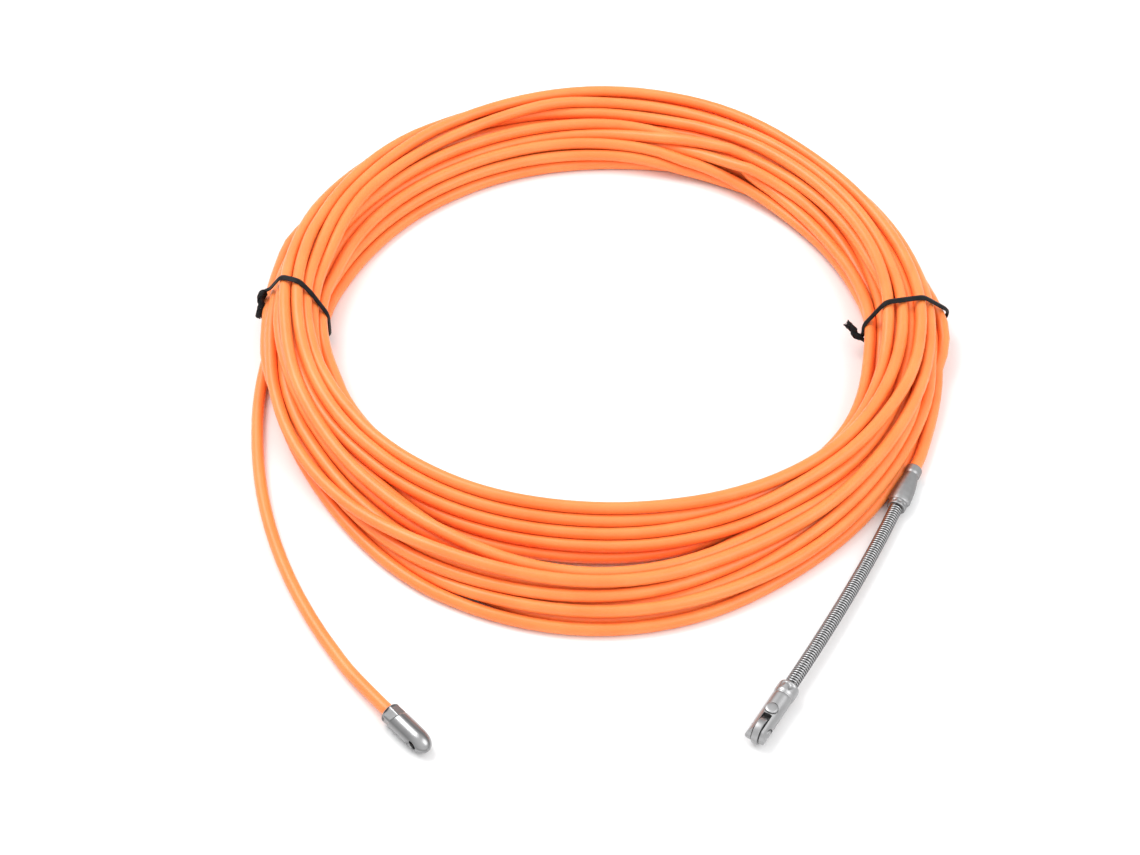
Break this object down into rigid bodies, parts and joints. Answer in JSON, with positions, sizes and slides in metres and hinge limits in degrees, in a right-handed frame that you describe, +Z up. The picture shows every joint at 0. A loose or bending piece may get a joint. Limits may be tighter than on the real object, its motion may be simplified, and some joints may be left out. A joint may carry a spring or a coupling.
{
  "type": "fish tape",
  "caption": "Coil of round orange cable-pulling tape held by twist ties, with a crimped pulling eyelet, guide spring and roller head.",
  "frame": {"origin": "middle of the whole object's footprint, on the plane that it lies on", "axes": "+Z up from the plane that the coil lies on; -Y towards the two free ends, the eyelet end at -X and the roller end at +X"},
  "size_m": [0.2362, 0.2916, 0.0223],
  "materials": {
    "tape": "smooth extruded polyamide, satin gloss",
    "tie_plastic": "soft black PVC",
    "tie_wire": "soft annealed wire",
    "fitting_steel": "bright nickel plate, crimped",
    "spring_steel": "drawn spring wire"
  },
  "bodies": {
    "tape": {"tape_coil": "tape", "tape_tail_eyelet": "tape", "tape_tail_leader": "tape", "tie_left_sheath": "tie_plastic", "tie_left_wire": "tie_wire", "tie_right_sheath": "tie_plastic", "tie_right_wire": "tie_wire", "eyelet_tip": "fitting_steel", "leader_ferrule": "fitting_steel", "guide_spring": "spring_steel", "spring_core_cable": "spring_steel"},
    "head": {"roller_head": "fitting_steel", "core_rivet": "fitting_steel", "roller_axle": "fitting_steel"},
    "wheel": {"roller_wheel": "fitting_steel"}
  },
  "joints": [
    {"name": "leader_bend", "type": "hinge", "parent": "tape", "child": "head", "pos_m": [0.07871, -0.08574, 0.00363], "axis": [0, 0, 1], "range_deg": [-40, 60], "stiffness_Nm_per_rad": 0.02, "deforming": ["guide_spring", "spring_core_cable"]},
    {"name": "roller_spin", "type": "hinge", "parent": "head", "child": "wheel", "pos_m": [0.04852, -0.13785, 0.0041], "axis": [0.8572, -0.515, 0], "continuous": true}
  ]
}
